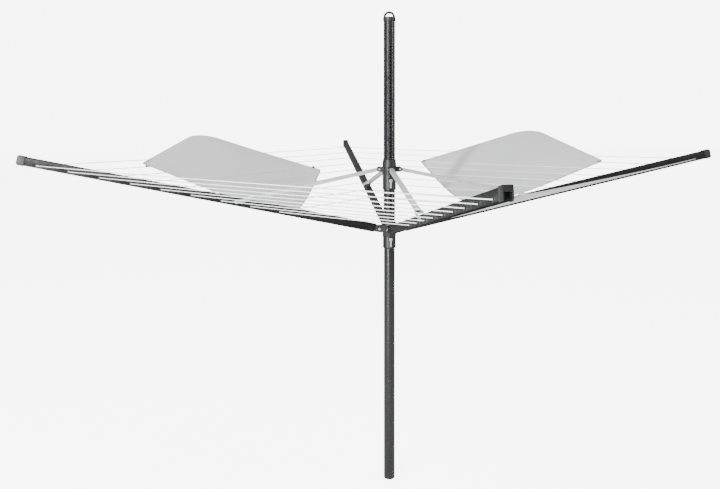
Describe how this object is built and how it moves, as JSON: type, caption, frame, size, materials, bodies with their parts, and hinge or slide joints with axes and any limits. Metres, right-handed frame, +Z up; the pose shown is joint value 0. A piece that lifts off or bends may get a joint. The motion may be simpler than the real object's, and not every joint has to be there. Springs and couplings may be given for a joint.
{
  "type": "rotary clothesline",
  "caption": "Rotary clothesline with a sliding-hub mast, folding arms and struts, rows of line, rocking keys and two flat drying nets.",
  "frame": {"origin": "centre of the mast at the bottom of its foot plug", "axes": "+Z up along the mast, +X along one arm, +Y along the next, the keys face -Y"},
  "size_m": [3.2132, 3.2132, 2.137],
  "materials": {
    "mast_coat": "satin powder coat",
    "arm_coat": "satin powder coat",
    "dark_plastic": "moulded, fine grain",
    "small_plastic": "moulded",
    "key_plastic": "moulded, light grey",
    "pin_steel": "bright",
    "strut_metal": "silver coat",
    "line_cord": "smooth covered cord",
    "net_cloth": "fine woven mesh"
  },
  "bodies": {
    "mast": {"mast_lower_tube": "mast_coat", "mast_upper_tube": "mast_coat", "mast_top_collar": "dark_plastic", "mast_top_loop": "dark_plastic", "mast_foot_plug": "dark_plastic"},
    "upper_hub": {"upper_hub": "dark_plastic", "upper_sleeve": "dark_plastic", "upper_hub_pins": "pin_steel"},
    "upper_key": {"upper_key": "key_plastic", "upper_catch_pin": "pin_steel"},
    "lower_hub": {"lower_hub": "dark_plastic", "lower_sleeve": "dark_plastic", "lower_hub_pins": "pin_steel", "lines_right_rear": "line_cord", "lines_rear_left": "line_cord", "lines_left_front": "line_cord", "lines_front_right": "line_cord"},
    "lower_key": {"lower_key": "key_plastic", "lower_catch_pin": "pin_steel"},
    "arm_right": {"arm_right": "arm_coat", "arm_root_right": "dark_plastic", "arm_end_cap_right": "dark_plastic", "line_eyelets_right": "small_plastic"},
    "strut_right": {"strut_right": "strut_metal", "strut_fork_right": "strut_metal", "strut_rivet_right": "pin_steel"},
    "arm_rear": {"arm_rear": "arm_coat", "arm_root_rear": "dark_plastic", "arm_end_cap_rear": "dark_plastic", "line_eyelets_rear": "small_plastic"},
    "strut_rear": {"strut_rear": "strut_metal", "strut_fork_rear": "strut_metal", "strut_rivet_rear": "pin_steel"},
    "arm_left": {"arm_left": "arm_coat", "arm_root_left": "dark_plastic", "arm_end_cap_left": "dark_plastic", "line_eyelets_left": "small_plastic"},
    "strut_left": {"strut_left": "strut_metal", "strut_fork_left": "strut_metal", "strut_rivet_left": "pin_steel"},
    "arm_front": {"arm_front": "arm_coat", "arm_root_front": "dark_plastic", "arm_end_cap_front": "dark_plastic", "line_eyelets_front": "small_plastic"},
    "strut_front": {"strut_front": "strut_metal", "strut_fork_front": "strut_metal", "strut_rivet_front": "pin_steel"},
    "net_right": {"net_right": "net_cloth", "net_hem_right": "net_cloth", "net_hooks_right": "small_plastic"},
    "net_left": {"net_left": "net_cloth", "net_hem_left": "net_cloth", "net_hooks_left": "small_plastic"}
  },
  "joints": [
    {"name": "height", "type": "slide", "parent": "mast", "child": "upper_hub", "axis": [0, 0, 1], "range_m": [0, 0.56]},
    {"name": "fold", "type": "hinge", "parent": "upper_hub", "child": "strut_right", "pos_m": [0.048, 0, 1.41324], "axis": [0, 1, 0], "range_deg": [0, 68], "deforming": ["lines_right_rear", "lines_rear_left", "lines_left_front", "lines_front_right"]},
    {"name": "arm_right_turn", "type": "hinge", "parent": "strut_right", "child": "arm_right", "pos_m": [0.68876, 0, 1.2774], "axis": [0, -1, 0], "range_deg": [0, 136]},
    {"name": "lower_hub_turn", "type": "hinge", "parent": "arm_right", "child": "lower_hub", "pos_m": [0.048, 0, 1.14155], "axis": [0, 1, 0], "range_deg": [0, 68]},
    {"name": "arm_rear_turn", "type": "hinge", "parent": "lower_hub", "child": "arm_rear", "pos_m": [0, 0.048, 1.14155], "axis": [1, 0, 0], "range_deg": [0, 68]},
    {"name": "arm_left_turn", "type": "hinge", "parent": "lower_hub", "child": "arm_left", "pos_m": [-0.048, 0, 1.14155], "axis": [0, 1, 0], "range_deg": [0, 68]},
    {"name": "arm_front_turn", "type": "hinge", "parent": "lower_hub", "child": "arm_front", "pos_m": [0, -0.048, 1.14155], "axis": [-1, 0, 0], "range_deg": [0, 68]},
    {"name": "strut_rear_turn", "type": "hinge", "parent": "upper_hub", "child": "strut_rear", "pos_m": [0, 0.048, 1.41324], "axis": [-1, 0, 0], "range_deg": [0, 68]},
    {"name": "strut_left_turn", "type": "hinge", "parent": "upper_hub", "child": "strut_left", "pos_m": [-0.048, 0, 1.41324], "axis": [0, -1, 0], "range_deg": [0, 68]},
    {"name": "strut_front_turn", "type": "hinge", "parent": "upper_hub", "child": "strut_front", "pos_m": [0, -0.048, 1.41324], "axis": [1, 0, 0], "range_deg": [0, 68]},
    {"name": "upper_key_press", "type": "hinge", "parent": "upper_hub", "child": "upper_key", "pos_m": [0, -0.0361, 1.3524], "axis": [-1, 0, 0], "range_deg": [0, 13], "stiffness_Nm_per_rad": 0.4, "springref_deg": -5.73},
    {"name": "lower_key_press", "type": "hinge", "parent": "lower_hub", "child": "lower_key", "pos_m": [0, -0.0351, 1.0852], "axis": [-1, 0, 0], "range_deg": [0, 13], "stiffness_Nm_per_rad": 0.4, "springref_deg": -5.73},
    {"name": "net_right_lift_off", "type": "slide", "parent": "arm_rear", "child": "net_right", "axis": [0.6632, 0.6632, 0.347], "range_m": [0, 0.9]},
    {"name": "net_left_lift_off", "type": "slide", "parent": "arm_rear", "child": "net_left", "axis": [-0.6632, 0.6632, 0.347], "range_m": [0, 0.9]}
  ],
  "couplings": [
    {"joint": "arm_right_turn", "follows": "fold", "ratio": 2},
    {"joint": "lower_hub_turn", "follows": "fold", "ratio": 1},
    {"joint": "arm_rear_turn", "follows": "fold", "ratio": 1},
    {"joint": "arm_left_turn", "follows": "fold", "ratio": 1},
    {"joint": "arm_front_turn", "follows": "fold", "ratio": 1},
    {"joint": "strut_rear_turn", "follows": "fold", "ratio": 1},
    {"joint": "strut_left_turn", "follows": "fold", "ratio": 1},
    {"joint": "strut_front_turn", "follows": "fold", "ratio": 1}
  ]
}
